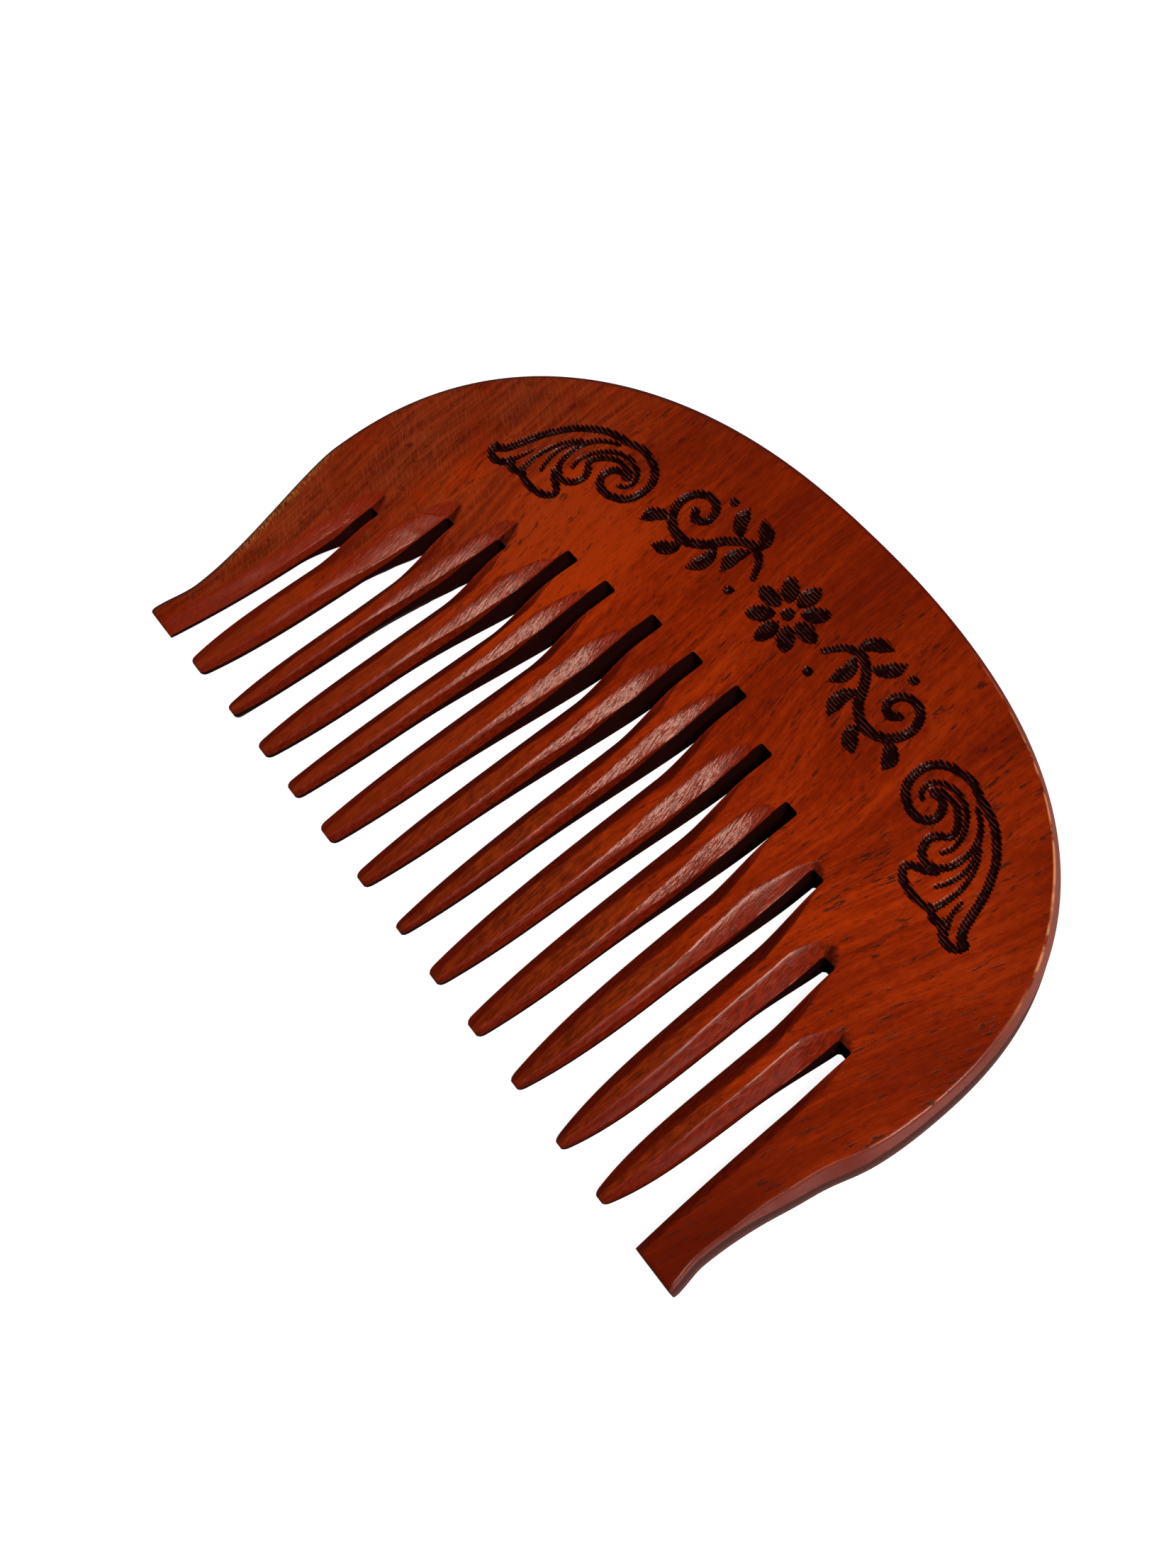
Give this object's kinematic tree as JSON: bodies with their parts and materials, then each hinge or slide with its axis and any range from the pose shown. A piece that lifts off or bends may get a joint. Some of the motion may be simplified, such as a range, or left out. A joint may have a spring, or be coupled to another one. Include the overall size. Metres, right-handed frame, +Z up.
{
  "type": "wooden hair comb",
  "caption": "Flat one-piece wooden hair comb: arched rounded back, wide-set teeth filed to a ridge on both faces, and a broad flared guard tooth at each end.",
  "frame": {"origin": "under the middle of the comb's box, on the surface it lies on", "axes": "+X along the row of teeth, +Y from the tooth tips to the arched back, +Z up through the board, out of the engraved face"},
  "size_m": [0.0976, 0.0634, 0.0056],
  "materials": {
    "wood": "oiled, satin, filed by hand"
  },
  "bodies": {
    "root": {"comb_back": "wood", "guard_tooth_left": "wood", "guard_tooth_right": "wood", "tooth_01": "wood", "tooth_02": "wood", "tooth_03": "wood", "tooth_04": "wood", "tooth_05": "wood", "tooth_06": "wood", "tooth_07": "wood", "tooth_08": "wood", "tooth_09": "wood", "tooth_10": "wood", "tooth_11": "wood", "tooth_12": "wood"}
  },
  "joints": []
}
